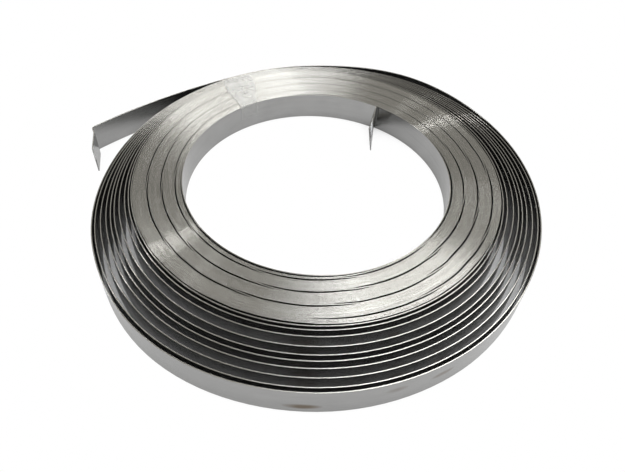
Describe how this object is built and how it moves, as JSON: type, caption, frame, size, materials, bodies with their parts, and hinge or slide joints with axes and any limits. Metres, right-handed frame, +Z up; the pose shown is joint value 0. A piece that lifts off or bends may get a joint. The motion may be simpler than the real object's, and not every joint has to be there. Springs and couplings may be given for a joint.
{
  "type": "stainless steel strapping coil",
  "caption": "Flat coil of plain stainless steel strapping: tight inner turns round an open bore, loose outer turns sprung open to one side, both ends bent, clear tape across the pack.",
  "frame": {"origin": "centre of the bounding box on the floor that the coil lies on", "axes": "+Z up along the bore's axis, -X towards the free outer end of the strap, -Y towards the side where the loose turns have sprung open"},
  "size_m": [0.2894, 0.2786, 0.0191],
  "materials": {
    "stainless_strap": "bright cold-rolled stainless with slit edges",
    "clear_tape": "clear crinkled film"
  },
  "bodies": {
    "root": {"strap": "stainless_strap", "clear_tape": "clear_tape"}
  },
  "joints": []
}
